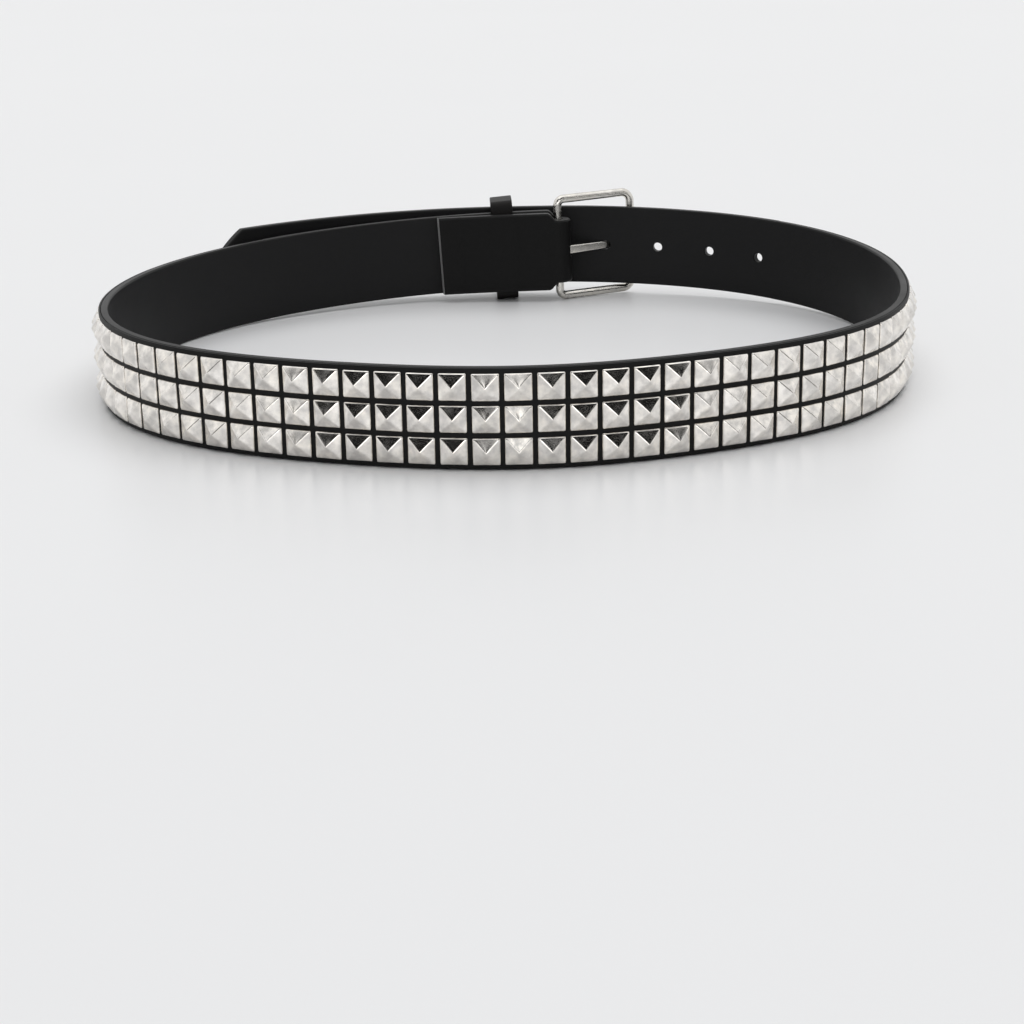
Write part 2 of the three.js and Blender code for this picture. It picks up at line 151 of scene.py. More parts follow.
class BeltStrapSizes(bpy.types.PropertyGroup):
    """The strap: its section, the loop that it makes, its folded end and its tail."""

    width: length("Width", "Across the strap", 38)
    thickness: length("Thickness", "Of the whole strap", 3.9)
    edge_round: length("Edge Rounding", "Radius of the painted edge's corners", 0.7)
    edge_crown: length("Edge Crown", "How far the painted edge bulges", 0.4)
    loop_radius: length("Loop Radius", "Mean radius of the loop's outer face", 157.5)
    bar_bearing: turn("Bar Bearing", "Where the heel bar lies round the loop", 81)
    fit_gap: length("Fit Gap", "Between pieces that touch", 0.3)
    fold_length: length("Fold Length", "Heel bar to the end of the returned layer", 60)
    fold_notch: length("Fold Notch", "Cut back from each edge where the strap wraps the bar", 3.6)
    notch_blend: length("Notch Blend", "Length over which the notch runs out", 5)
    left_inset: length("Buckle End Inset", "How far inside the loop the buckle end lies", 1)
    left_inset_reach: length("Inset Reach", "Length over which the inset fades", 145)
    left_lift_reach: length("Buckle End Lift Reach", "Length over which that end comes down", 220)
    tail_gap: length("Tail Gap", "Between the buckle end and the tail over it", 4.9)
    right_offset_reach: length("Hole End Reach", "Length over which the hole end moves out", 165)
    right_ride: length("Hole End Ride", "How much higher the hole end rides", 0.2)
    right_lift_reach: length("Hole End Lift Reach", "Length over which that end comes down", 200)
    tail_length: length("Tail Length", "Heel bar to the tail's tip", 169)
    tail_spring: length("Tail Spring", "How far the tail's tip springs away", 6.5)
    tail_droop: length("Tail Droop", "How much lower the tail's tip hangs", 1.4)
    tip_shoulder: turn("Tip Shoulder", "Turn of the edge at the start of the tip", 34)
    tip_nose: turn("Tip Nose", "Turn of the edge where the tip's nose starts", 56)
    tip_nose_width: length("Tip Nose Width", "Across the strap where the nose starts", 8)
    hole_diameter: length("Hole Diameter", "Of the punched holes", 4.4)
    hole_spacing: length("Hole Spacing", "Between the punched holes", 25.4)
    holes_each_side: IntProperty(
        name="Holes Each Side", description="Beside the one that the prong is in", default=3
    )
    prong_hole: length("Prong Hole", "Heel bar to the hole that the prong is in", 22.8)
    slot_gap: length("Slot Gap", "Between the prong and the leather beside it", 0.5)


class BeltStudSizes(bpy.types.PropertyGroup):
    """The pyramid studs and the facing that they are set in."""

    size: length("Size", "Side of a square stud", 10.3)
    height: length("Height", "Of a stud over the facing", 3.4)
    lip: length("Lip", "Upright edge of a stud", 0.7)
    column_gap: length("Column Gap", "Between studs along the strap", 1.45)
    row_gap: length("Row Gap", "Between rows", 1.6)
    edge_clear: length("Edge Clearance", "Least leather outside the outer rows", 1.5)
    hole_clear: length("Hole Clearance", "Least leather between a hole and the studs", 8)
    root: length("Root", "How deep a stud is set into the facing", 0.4)
    facing: length("Facing Thickness", "Of the outer layer that holds the studs", 0.8)
    facing_margin: length("Facing Margin", "Facing past the outermost studs", 1.2)
    ridge: length("Ridge Rounding", "Radius of the stud's corners and ridges", 0.55)
    brim: length("Brim Rounding", "Radius from the facets down to the facing", 1.1)
    dish: length("Facet Dish", "How far the pressed facets sink", 0.04)
    tilt: turn("Stud Tilt", "Largest tilt of a stud from where it was clinched", 1.1)
    slip: length("Stud Slip", "Largest slip of a stud from its place", 0.08)


class BeltBuckleSizes(bpy.types.PropertyGroup):
    """The rod buckle, its prong and the keeper."""

    rod: length("Rod Diameter", "Of the buckle's rod", 4)
    strap_rest: length("Strap Rest", "Strap's edge above the lower rod", 1.6)
    frame_slack: length("Frame Slack", "Above the strap, inside the frame", 3.5)
    pitch: length("Bar Pitch", "Heel bar to far bar", 38.6)
    heel_corner: length("Heel Corner", "Radius of the bends at the heel bar", 3.2)
    far_corner: length("Far Corner", "Radius of the bends at the far bar", 4.6)
    prong_width: length("Prong Width", "Along the heel bar", 4.2)
    prong_thickness: length("Prong Thickness", "Out of the belt", 1.9)
    prong_reach: length("Prong Reach", "Past the far bar", 3.2)
    prong_taper: amount("Prong Taper", "Thickness left at the point", 0.8)
    hook_start: turn("Hook Start", "Where the hook starts round the bar", -30)
    hook_end: turn("Hook End", "Where the hook ends round the bar", 135)
    keeper_distance: length("Keeper Distance", "From the heel bar", 26.9)
    keeper_tilt: turn("Keeper Tilt", "How far it sits askew, its top towards the tail's tip", 3.2)
    keeper_width: length("Keeper Width", "Along the strap", 10.5)
    keeper_wall: length("Keeper Wall", "Thickness of the keeper's leather", 1.7)
    keeper_corner: length("Keeper Corner", "Radius of the keeper's corners", 2.6)
    keeper_slack: length("Keeper Slack", "Over the tail", 0.6)
    keeper_headroom: length("Keeper Headroom", "Above the strap, inside the keeper", 2.6)


class BeltFinish(bpy.types.PropertyGroup):
    """Colours of the belt's materials."""

    lining: tint("Lining", "Smooth inner face of the strap", (0.0085, 0.0085, 0.0090))
    facing: tint("Facing", "Outer face of the strap", (0.006, 0.006, 0.006))
    keeper: tint("Keeper", "Leather of the keeper", (0.0105, 0.0095, 0.009))
    edge_paint: tint("Edge Paint", "Painted edges", (0.011, 0.011, 0.011))
    raw_cut: tint("Raw Cut", "Cut end of the returned layer", (0.30, 0.30, 0.30))
    studs: tint("Studs", "Nickel plate of the studs", (0.90, 0.87, 0.83))
    buckle: tint("Buckle", "Nickel plate of the buckle", (0.74, 0.72, 0.68))


class BeltStage(bpy.types.PropertyGroup):
    """The floor, the lights and the camera."""

    camera_position: FloatVectorProperty(
        name="Camera", description="Where the camera stands", default=(-0.0005, -0.8374, 0.2159),
        size=3, subtype="TRANSLATION"
    )
    camera_pitch: turn("Camera Pitch", "Down from level", 18.575)
    camera_roll: turn("Camera Roll", "About the line of sight", -1.014)
    focal_share: amount("Focal Share", "Focal length as a share of the picture's width", 1.9626)
    floor: tint("Floor Colour", "Pale floor", (0.815, 0.815, 0.82))
    floor_half: length("Floor", "From the middle of the floor to its sides", 9000)
    surround: tint("Surround", "Soft light from all round", (0.86, 0.87, 0.88))
    surround_strength: amount("Surround Strength", "Of the light from all round", 0.5)
    top_strength: amount("Top Strength", "Of the light from above", 1.85)
    top_spread: turn("Top Spread", "How wide the light from above is", 70)


class Guide:
    """Places on the strap, by the distance along it from the heel bar, in the frame's metres."""

    def __init__(self, scene):
        self.strap = scene.belt_strap
        self.studs = scene.belt_studs
        self.buckle = scene.belt_buckle
        self.half = self.strap.width / 2
        self.bar_grip = self.buckle.rod / 2 + self.strap.fit_gap
        self.left_lift = self.buckle.rod + self.buckle.strap_rest
        self.right_lift = self.left_lift + self.strap.right_ride
        self.right_offset = self.strap.thickness + self.strap.tail_gap
        self.shift = Vector((0, 0, 0))
        self.measure_loop()
        self.wrap_length = math.pi * (self.bar_grip + self.strap.thickness)
        self.tail_end = self.loop_length + self.strap.tail_length
        self.shape_tip()
        self.place_studs()
        self.shift = self.find_shift()
        self.place_bar()

    def radius_at(self, angle):
        """Radius and slope of the loop's outer face."""
        share, slope = 1, 0
        for waves, cosine, sine in LOOP_WAVES:
            share += cosine * math.cos(waves * angle) + sine * math.sin(waves * angle)
            slope += waves * (sine * math.cos(waves * angle) - cosine * math.sin(waves * angle))
        return self.strap.loop_radius * share, self.strap.loop_radius * slope

    def measure_loop(self):
        """Running length round the loop from the heel bar."""
        step = 2 * math.pi / LOOP_STEPS
        self.lengths = [0]
        for i in range(LOOP_STEPS):
            radius, slope = self.radius_at(self.strap.bar_bearing + (i + 0.5) * step)
            self.lengths.append(self.lengths[-1] + math.hypot(radius, slope) * step)
        self.loop_length = self.lengths[-1]

    def angle_at(self, distance):
        """Bearing at a distance along the loop."""
        wrapped = distance % self.loop_length
        low, high = 0, LOOP_STEPS
        while high - low > 1:
            middle = (low + high) // 2
            if self.lengths[middle] > wrapped:
                high = middle
            else:
                low = middle
        part = (wrapped - self.lengths[low]) / (self.lengths[high] - self.lengths[low])
        return self.strap.bar_bearing + (low + part) / LOOP_STEPS * 2 * math.pi

    def distance_at(self, bearing):
        """Distance along the loop at a bearing."""
        turned = (bearing - self.strap.bar_bearing) / (2 * math.pi) % 1
        return self.lengths[round(turned * LOOP_STEPS)]

    def tail_share(self, distance):
        """How far along the tail a distance is, as a share."""
        return (distance - self.loop_length) / self.strap.tail_length

    def sideways(self, distance):
        """How far the strap's outer face lies outside the loop."""
        strap = self.strap
        if distance > self.loop_length:
            return self.right_offset + strap.tail_spring * self.tail_share(distance) ** 2
        to_end = (self.loop_length - distance) / strap.right_offset_reach
        inset = strap.left_inset * fade(distance / strap.left_inset_reach, 2)
        return self.right_offset * fade(to_end, 2) - inset

    def lift(self, distance):
        """How far the strap's lower edge lies above the floor."""
        strap = self.strap
        if distance > self.loop_length:
            return self.right_lift - strap.tail_droop * self.tail_share(distance) ** 2
        right = self.right_lift * fade((self.loop_length - distance) / strap.right_lift_reach, 2)
        return right + self.left_lift * fade(distance / strap.left_lift_reach, 1)

    def face_point(self, distance):
        """Middle of the strap's outer face."""
        angle = self.angle_at(distance)
        radius, slope = self.radius_at(angle)
        c, s = math.cos(angle), math.sin(angle)
        along = Vector((slope * c - radius * s, slope * s + radius * c, 0)).normalized()
        out = Vector((along.y, -along.x, 0))
        place = Vector((radius * c, radius * s, self.lift(distance) + self.half))
        return self.shift + place + out * self.sideways(distance)

    def strap_station(self, distance):
        """Point on the outer face, and the axes along, out of and up across the strap."""
        before = self.face_point(max(distance - TANGENT_STEP, 0))
        after = self.face_point(distance + TANGENT_STEP)
        return (self.face_point(distance), *axes_from(before, after))

    def layer_gap(self, distance):
        """Gap between the outer layer and the returned one."""
        share = 1 - (distance / self.strap.fold_length) ** 2
        return self.strap.fit_gap + (2 * self.bar_grip - self.strap.fit_gap) * share

    def return_point(self, distance):
        """Middle of the returned layer's face inside the loop."""
        point, _, out, _ = self.strap_station(distance)
        return point - out * (2 * self.strap.thickness + self.layer_gap(distance))

    def station(self, distance):
        """As strap_station, and below zero round the bar and back along the returned layer."""
        if distance >= 0:
            return self.strap_station(distance)
        if distance >= -self.wrap_length:
            angle = math.pi / 2 + math.pi * distance / self.wrap_length
            out = self.bar_right * math.cos(angle) + self.bar_out * math.sin(angle)
            along = self.bar_out * math.cos(angle) - self.bar_right * math.sin(angle)
            point = self.bar_centre + out * (self.bar_grip + self.strap.thickness)
            return point, along, out, self.bar_up
        back = -self.wrap_length - distance
        before = self.return_point(min(back + TANGENT_STEP, self.strap.fold_length))
        after = self.return_point(max(back - TANGENT_STEP, 0))
        return (self.return_point(back), *axes_from(before, after))

    def shape_tip(self):
        """Radii and lengths of the tail's tip: two side arcs and a round nose."""
        strap = self.strap
        nose_half = strap.tip_nose_width / 2
        fall = math.cos(strap.tip_shoulder) - math.cos(strap.tip_nose)
        self.tip_side_radius = (self.half - nose_half) / fall
        self.tip_nose_radius = nose_half / math.cos(strap.tip_nose)
        self.tip_nose_length = self.tip_nose_radius * (1 - math.sin(strap.tip_nose))
        run = math.sin(strap.tip_nose) - math.sin(strap.tip_shoulder)
        self.tip_length = self.tip_side_radius * run + self.tip_nose_length

    def half_width(self, distance):
        """Half the strap's width: cut back at the fold, and drawn in to the tip."""
        from_end = self.tail_end - distance
        if from_end < self.tip_nose_length:
            run = self.tip_nose_radius - max(from_end, 0)
            return math.sqrt(max(self.tip_nose_radius**2 - run**2, 0))
        if from_end < self.tip_length:
            radius, shoulder = self.tip_side_radius, self.strap.tip_shoulder
            run = self.tip_length - from_end + radius * math.sin(shoulder)
            return self.half - (radius * math.cos(shoulder) - math.sqrt(radius**2 - run**2))
        from_wrap = max(abs(distance + self.wrap_length / 2) - self.wrap_length / 2, 0)
        return self.half - self.strap.fold_notch * fade(from_wrap / self.strap.notch_blend, 2)

    def place_studs(self):
        """Columns and rows of studs, and the stretch of facing that they are set in."""
        strap, studs = self.strap, self.studs
        self.front = self.distance_at(FRONT_BEARING)
        self.stud_pitch = studs.size + studs.column_gap
        self.row_pitch = studs.size + studs.row_gap
        self.rows = math.floor((strap.width - 2 * studs.edge_clear + studs.row_gap) / self.row_pitch)
        plain = strap.prong_hole + strap.holes_each_side * strap.hole_spacing + studs.hole_clear
        reach = min(self.front, self.loop_length - self.front) - plain - studs.facing_margin
        self.columns = math.floor(reach / self.stud_pitch - 0.5)
        facing_half = (self.columns + 0.5) * self.stud_pitch + studs.facing_margin
        self.facing_start = self.front - facing_half
        self.facing_end = self.front + facing_half

    def stud_seats(self):
        """Each stud's seat and its axes along, out and up."""
        for column in range(-self.columns, self.columns + 1):
            point, along, out, up = self.strap_station(self.front + column * self.stud_pitch)
            for row in range(self.rows):
                seat = point + up * ((row - (self.rows - 1) / 2) * self.row_pitch)
                yield seat, along, out, up

    def find_shift(self):
        """From the loop's own middle to the frame, by the studs' lowest corner in both."""
        half, lip, height = self.studs.size / 2, self.studs.lip, self.studs.height
        shapes = [(0, height, 0)] + [(u, lip, w) for u in (-half, half) for w in (-half, half)]
        lowest = Vector((math.inf, math.inf))
        for seat, along, out, up in self.stud_seats():
            for across, proud, lengthwise in shapes:
                corner = seat + up * across + out * proud + along * lengthwise
                lowest = Vector(map(min, lowest, corner.xy))
        return (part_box("stud_field")[0].xy - lowest).to_3d()

    def place_bar(self):
        """The heel bar inside the fold, and the lines of the prong and the frame."""
        strap, buckle = self.strap, self.buckle
        point, along, self.bar_out, self.bar_up = self.strap_station(0)
        self.bar_right = -along
        self.bar_centre = point - self.bar_out * (strap.thickness + self.bar_grip)
        hole_point, _, hole_out, _ = self.strap_station(self.loop_length - strap.prong_hole)
        to_hole = hole_point - hole_out * (strap.thickness / 2) - self.bar_centre
        self.prong_level = to_hole.dot(self.bar_up)
        to_hole -= self.bar_up * self.prong_level
        self.prong_angle = math.atan2(to_hole.dot(self.bar_out), to_hole.dot(self.bar_right))
        stand_off = buckle.rod / 2 + strap.fit_gap + buckle.prong_thickness / 2
        self.frame_lean = self.prong_angle - math.asin(stand_off / buckle.pitch)

    def bar_placement(self, angle, level):
        """Matrix for a shape drawn with x away from the bar, y out of the belt, z up along it."""
        x = self.bar_right * math.cos(angle) + self.bar_out * math.sin(angle)
        y = self.bar_up.cross(x)
        return matrix_of(x, y, self.bar_up, self.bar_centre + self.bar_up * level)


def fade(share, ease):
    """Falls from 1 to 0 with a level end; ease 2 also starts level, ease 1 starts on a slope."""
    t = min(max(share, 0), 1)
    return (1 - t) ** 2 * (1 + ease * t)


def axes_from(before, after):
    """Axes along a strap that runs through two points, out of its finished face, and up."""
    along = (after - before).normalized()
    out = along.cross(UP).normalized()
    return along, out, out.cross(along).normalized()


def matrix_of(x, y, z, origin):
    """A placement from its axes and origin."""
    matrix = Matrix((x, y, z)).transposed().to_4x4()
    matrix.translation = origin
    return matrix


def steps_between(start, end, longest):
    """Even steps from start up to, but without, end."""
    count = max(1, math.ceil((end - start) / longest))
    return [start + (end - start) * i / count for i in range(count)]


def rounded_section(skin, depth, half, outer_round, inner_round, crown, face_steps):
    """Points (inward, height) round a strap's section, with round corners and crowned edges."""
    corner_steps = 5
    upper = []
    corners = ((skin + outer_round, outer_round, 180), (depth - inner_round, inner_round, 90))
    for centre_in, radius, start in corners:
        for i in range(corner_steps + 1):
            angle = math.radians(start - 90 * i / corner_steps)
            inward = centre_in + radius * math.cos(angle)
            height = half - crown - radius + radius * math.sin(angle)
            bulge = crown * math.sin(math.pi * (inward - skin) / (depth - skin))
            upper.append((inward, height + bulge * max(math.sin(angle), 0)))
    lower = [(inward, -height) for inward, height in reversed(upper)]
    inner = [(depth, upper[-1][1] * (1 - 2 * i / face_steps)) for i in range(1, face_steps)]
    outer = [(skin, -upper[0][1] * (1 - 2 * i / face_steps)) for i in range(1, face_steps)]
    return upper + inner + lower + outer


def grid_faces(rows, count, across):
    """Faces between rows of points; a row closes on itself with as many faces as points."""
    return [
        (here + j, here + (j + 1) % count, here + count + (j + 1) % count, here + count + j)
        for here in range(0, (rows - 1) * count, count) for j in range(across)
    ]


def skin_mesh(name, rings, closed):
    """A mesh through rings of points, with flat ends unless the last ring meets the first."""
    count = len(rings[0])
    points = [point for ring in rings for point in ring]
    faces = []
    for i in range(len(rings) if closed else len(rings) - 1):
        here, after = i * count, (i + 1) % len(rings) * count
        for j in range(count):
            k = (j + 1) % count
            faces.append((here + j, after + j, after + k, here + k))
    if not closed:
        last = (len(rings) - 1) * count
        faces.append(tuple(range(count)))
        faces.append(tuple(last + j for j in reversed(range(count))))
    mesh = bpy.data.meshes.new(name)
    mesh.from_pydata(points, [], faces)
    shape = bmesh.new()
    shape.from_mesh(mesh)
    bmesh.ops.recalc_face_normals(shape, faces=shape.faces)
    shape.to_mesh(mesh)
    shape.free()
    return mesh


def add_object(name, mesh, *materials):
    """A shown object for a mesh, with its materials."""
    piece = bpy.data.objects.new(name, mesh)
    for material in materials:
        mesh.materials.append(material)
    bpy.context.scene.collection.objects.link(piece)
    return piece


def apply_modifiers(piece):
    """Writes a piece's modifiers into its mesh."""
    evaluated = piece.evaluated_get(bpy.context.evaluated_depsgraph_get())
    mesh = bpy.data.meshes.new_from_object(evaluated)
    piece.modifiers.clear()
    piece.data = mesh


def combine(piece, operation, others):
    """Cuts closed shapes out of a piece, or joins them to it."""
    for other in others:
        modifier = piece.modifiers.new("combine", "BOOLEAN")
        modifier.operation, modifier.solver, modifier.object = operation, "EXACT", other
    apply_modifiers(piece)
    for other in others:
        bpy.data.objects.remove(other)


def settle(rings):
    """Rings of points let down until the lowest is on the floor."""
    floor_gap = min(point.z for ring in rings for point in ring)
    return [[point - UP * floor_gap for point in ring] for ring in rings]


def smooth(piece, sharp_degrees):
    """Smooth shading that keeps flat faces flat and edges past an angle sharp."""
    mesh = piece.data
    mesh.shade_smooth()
    mesh.set_sharp_from_angle(angle=math.radians(sharp_degrees))
    weighted = piece.modifiers.new("weighted", "WEIGHTED_NORMAL")
    weighted.keep_sharp = True
    apply_modifiers(piece)


def dress(piece, slot, *nodes):
    """Fixes a piece to the belt's body and hides the model's parts for the nodes that it stands for;
    the slot is not used.
    """
    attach(piece, "root")
    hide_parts(*nodes)


class Shader:
    """A node material that is built up from its principled shader."""

    def __init__(self, name, colour, roughness, metallic=0.0):
        self.material = bpy.data.materials.new(name)
        self.material.use_nodes = True
        self.material.diffuse_color = (*colour, 1)
        self.tree = self.material.node_tree
        self.surface = self.tree.nodes["Principled BSDF"]
        self.surface.inputs["Base Color"].default_value = (*colour, 1)
        self.surface.inputs["Roughness"].default_value = roughness
        self.surface.inputs["Metallic"].default_value = metallic
        self.place = self.node("ShaderNodeTexCoord").outputs["Object"]

    def node(self, kind, **settings):
        """A node with its settings and, by name, its inputs."""
        made = self.tree.nodes.new(kind)
        for key, value in settings.items():
            if key in made.inputs.keys():
                made.inputs[key].default_value = value
            else:
                setattr(made, key, value)
        return made

    def link(self, output, socket):
        """Joins an output to an input."""
        self.tree.links.new(output, socket)

    def noise(self, scale, detail=3.0, stretch=(1, 1, 1)):
        """Noise over the object's own space, with its scale in cells a metre."""
        mapping = self.node("ShaderNodeMapping", Scale=stretch)
        self.link(self.place, mapping.inputs["Vector"])
        made = self.node("ShaderNodeTexNoise", Scale=scale, Detail=detail)
        self.link(mapping.outputs["Vector"], made.inputs["Vector"])
        return made.outputs["Fac"]

    def cells(self, scale):
        """Distance to the middle of random cells."""
        made = self.node("ShaderNodeTexVoronoi", Scale=scale)
        self.link(self.place, made.inputs["Vector"])
        return made.outputs["Distance"]

    def range(self, value, low, high, to_low, to_high):
        """Maps a value from one range to another."""
        made = self.node("ShaderNodeMapRange")
        sockets = ("From Min", "From Max", "To Min", "To Max")
        for socket, number in zip(sockets, (low, high, to_low, to_high)):
            made.inputs[socket].default_value = number
        self.link(value, made.inputs["Value"])
        return made.outputs["Result"]

    def shade(self, value, dark, light):
        """Colour between two, each plain or from a node, by a value."""
        made = self.node("ShaderNodeMix", data_type="RGBA")
        sockets = (socket for socket in made.inputs if socket.type == "RGBA")
        for socket, colour in zip(sockets, (dark, light)):
            if isinstance(colour, tuple):
                socket.default_value = (*colour, 1)
            else:
                self.link(colour, socket)
        self.link(value, made.inputs["Factor"])
        return next(socket for socket in made.outputs if socket.type == "RGBA")

    def bump(self, *layers):
        """Bump from layers of (height, distance, strength), each over the last."""
        normal = None
        for height, distance, strength in layers:
            made = self.node("ShaderNodeBump", Distance=distance, Strength=strength)
            self.link(height, made.inputs["Height"])
            if normal:
                self.link(normal, made.inputs["Normal"])
            normal = made.outputs["Normal"]
        self.link(normal, self.surface.inputs["Normal"])

    def feed(self, socket, value):
        """Drives one of the surface's sockets."""
        self.link(value, self.surface.inputs[socket])


def scaled(colour, factor):
    """A colour made lighter or darker."""
    return tuple(min(channel * factor, 1) for channel in colour)


def leather_material(name, finish):
    """Coated leather: pebbled grain, a fibrous tooth and an uneven sheen."""
    tint_name, roughness, specular, grain, grain_depth = LEATHERS[name]
    colour = getattr(finish, tint_name)
    leather = Shader(name, colour, roughness)
    leather.surface.inputs["Specular IOR Level"].default_value = specular
    clouds = leather.noise(28)
    pebbles = leather.cells(grain)
    fibres = leather.noise(grain * 0.6, 6.0)
    leather.feed("Base Color", leather.shade(clouds, scaled(colour, 0.82), scaled(colour, 1.2)))
    leather.feed("Roughness", leather.range(clouds, 0.3, 0.7, roughness - 0.05, roughness + 0.06))
    leather.bump((clouds, 0.0006, 0.12), (pebbles, grain_depth, 0.5), (fibres, grain_depth * 0.6, 0.4))
    return leather.material


def plate_material(name, finish):
    """Polished plate with clouded, warmer and cooler patches and faint polishing marks."""
    tint_name, roughness, cloudiness = PLATES[name]
    colour = getattr(finish, tint_name)
    plate = Shader(name, colour, roughness, 1.0)
    clouds = plate.range(plate.noise(260, 4.0), 0.36, 0.66, 0, 1)
    patches = plate.noise(110, 2.0)
    marks = plate.noise(900, 3.0, (1, 1, 6))
    dull, clean = scaled(colour, 1 - cloudiness), scaled(colour, 1 + cloudiness / 4)
    warm = (clean[0], clean[1] * 0.985, clean[2] * 0.95)
    tone = plate.shade(plate.range(patches, 0.35, 0.65, 0, 1), clean, warm)
    plate.feed("Base Color", plate.shade(clouds, dull, tone))
    plate.feed("Roughness", plate.range(clouds, 0, 1, roughness * 1.5, roughness * 0.75))
    plate.bump((patches, 0.0006, 0.04), (marks, 0.00002, 0.03))
    return plate.material


def strap_rings(guide):
    """Section rings along the whole strap, from the returned layer's end to the tail's tip."""
    strap = guide.strap
    wrap, fold_end = -guide.wrap_length, -guide.wrap_length - strap.fold_length
    creases = (fold_end + 11 * MM, wrap - 21 * MM, wrap - 3 * MM)
    plain, bed = (0, strap.edge_round), (guide.studs.facing + BED_CLEARANCE, BED_ROUND)

    def ring(distance, skin, outer_round, slant=0.0):
        point, along, out, up = guide.station(distance)
        if distance < wrap:
            for place in creases:
                skin += CREASE_DEPTH * math.exp(-(((distance - place) / CREASE_WIDTH) ** 2))
        section = rounded_section(
            skin, strap.thickness, guide.half_width(distance), outer_round, strap.edge_round,
            strap.edge_crown, STRAP_FACE_STEPS,
        )
        return [
            point - out * inward + up * height
            + along * slant * (1 - inward / strap.thickness - 0.4 * height / guide.half)
            for inward, height in section
        ]

    def run(start, end, longest, cover=plain):
        return [ring(distance, *cover) for distance in steps_between(start, end, longest)]

    tip_start = guide.tail_end - guide.tip_length
    nose_start = guide.tail_end - guide.tip_nose_length
    rings = [ring(fold_end, *plain, CUT_SLANT)]
    rings += run(fold_end + 3 * MM, wrap, FINE_STEP)
    rings += run(wrap, 0, guide.wrap_length / WRAP_STEPS)
    rings += run(0, strap.notch_blend, FINE_STEP)
    rings += run(strap.notch_blend, guide.facing_start, LONG_STEP)
    rings.append(ring(guide.facing_start, *plain))
    rings += run(guide.facing_start, guide.facing_end, LONG_STEP, bed)
    rings.append(ring(guide.facing_end, *bed))
    rings += run(guide.facing_end, tip_start, LONG_STEP)
    rings += run(tip_start, nose_start, TIP_STEP)
    rings += run(nose_start, guide.tail_end - NOSE_STEP, NOSE_STEP)
    return rings


def paint_section(mesh, ring_size, outer, inner, edge, cap):
    """Gives the strap's outer face, inner face, edges and end caps their materials."""
    edge_quads = [edge] * ((ring_size - 2 * STRAP_FACE_STEPS) // 2)
    by_quad = edge_quads + [inner] * STRAP_FACE_STEPS + edge_quads + [outer] * STRAP_FACE_STEPS
    for index, polygon in enumerate(mesh.polygons):
        polygon.material_index = cap if len(polygon.vertices) > 4 else by_quad[index % ring_size]


def round_section(radius, sides):
    """Points round a circle."""
    angles = (2 * math.pi * i / sides for i in range(sides))
    return [(radius * math.cos(angle), radius * math.sin(angle)) for angle in angles]


def hole_cutters(guide):
    """The punched holes, each flared a little at both faces."""
    strap = guide.strap
    radius, reach, flare = strap.hole_diameter / 2, strap.thickness / 2, 0.3 * MM
    profile = (
        (radius + 2 * flare, -reach - flare), (radius + flare, -reach), (radius, -reach + flare),
        (radius, reach - flare), (radius + flare, reach), (radius + 2 * flare, reach + flare),
    )
    for i in range(-strap.holes_each_side, strap.holes_each_side + 1):
        distance = guide.loop_length - strap.prong_hole - i * strap.hole_spacing
        point, along, out, up = guide.strap_station(distance)
        placement = matrix_of(along, up, out, point - out * reach)
        rings = [
            [placement @ Vector((x, y, z)) for x, y in round_section(r, HOLE_SIDES)] for r, z in profile
        ]
        yield add_object("hole_cutter", skin_mesh("hole_cutter", rings, False))


def slot_cutter(guide):
    """The slot in the fold, where the prong's hook passes."""
    strap, buckle = guide.strap, guide.buckle
    reach = guide.bar_grip + strap.thickness + strap.slot_gap
    left = guide.bar_grip + buckle.prong_thickness + strap.slot_gap
    half = buckle.prong_width / 2 + strap.slot_gap
    placement = guide.bar_placement(0, guide.prong_level)
    rings = [
        [placement @ Vector((x, y, z)) for x, y in
         ((-left, -guide.bar_grip), (reach, -guide.bar_grip), (reach, reach), (-left, reach))]
        for z in (-half, half)
    ]
    return add_object("slot_cutter", skin_mesh("slot_cutter", rings, False))


def rounded_rectangle(width, height, radius, steps):
    """Points round a rectangle with round corners."""
    out, up = width / 2 - radius, height / 2 - radius
    points = []
    for x, y, start in ((out, up, 0), (-out, up, 90), (-out, -up, 180), (out, -up, 270)):
        for i in range(steps + 1):
            angle = math.radians(start + 90 * i / steps)
            points.append((x + radius * math.cos(angle), y + radius * math.sin(angle)))
    return points


def rounded_path(width, height, left_radius, right_radius, turns, longest):
    """Stations (x, y, outward x, outward y) round a rounded rectangle that starts at x = 0."""
    corners = (
        (left_radius, height / 2 - left_radius, left_radius, 180),
        (width - right_radius, height / 2 - right_radius, right_radius, 90),
        (width - right_radius, right_radius - height / 2, right_radius, 0),
        (left_radius, left_radius - height / 2, left_radius, -90),
    )
    bends = [
        [(x + radius * math.cos(a), y + radius * math.sin(a), math.cos(a), math.sin(a))
         for a in (math.radians(start - 90 * i / turns) for i in range(turns + 1))]
        for x, y, radius, start in corners
    ]
    path = []
    for i, bend in enumerate(bends):
        path += bend
        (x0, y0, out_x, out_y), (x1, y1, *_) = bend[-1], bends[(i + 1) % len(bends)][0]
        for share in steps_between(0, 1, longest / math.hypot(x1 - x0, y1 - y0))[1:]:
            path.append((x0 + (x1 - x0) * share, y0 + (y1 - y0) * share, out_x, out_y))
    return path


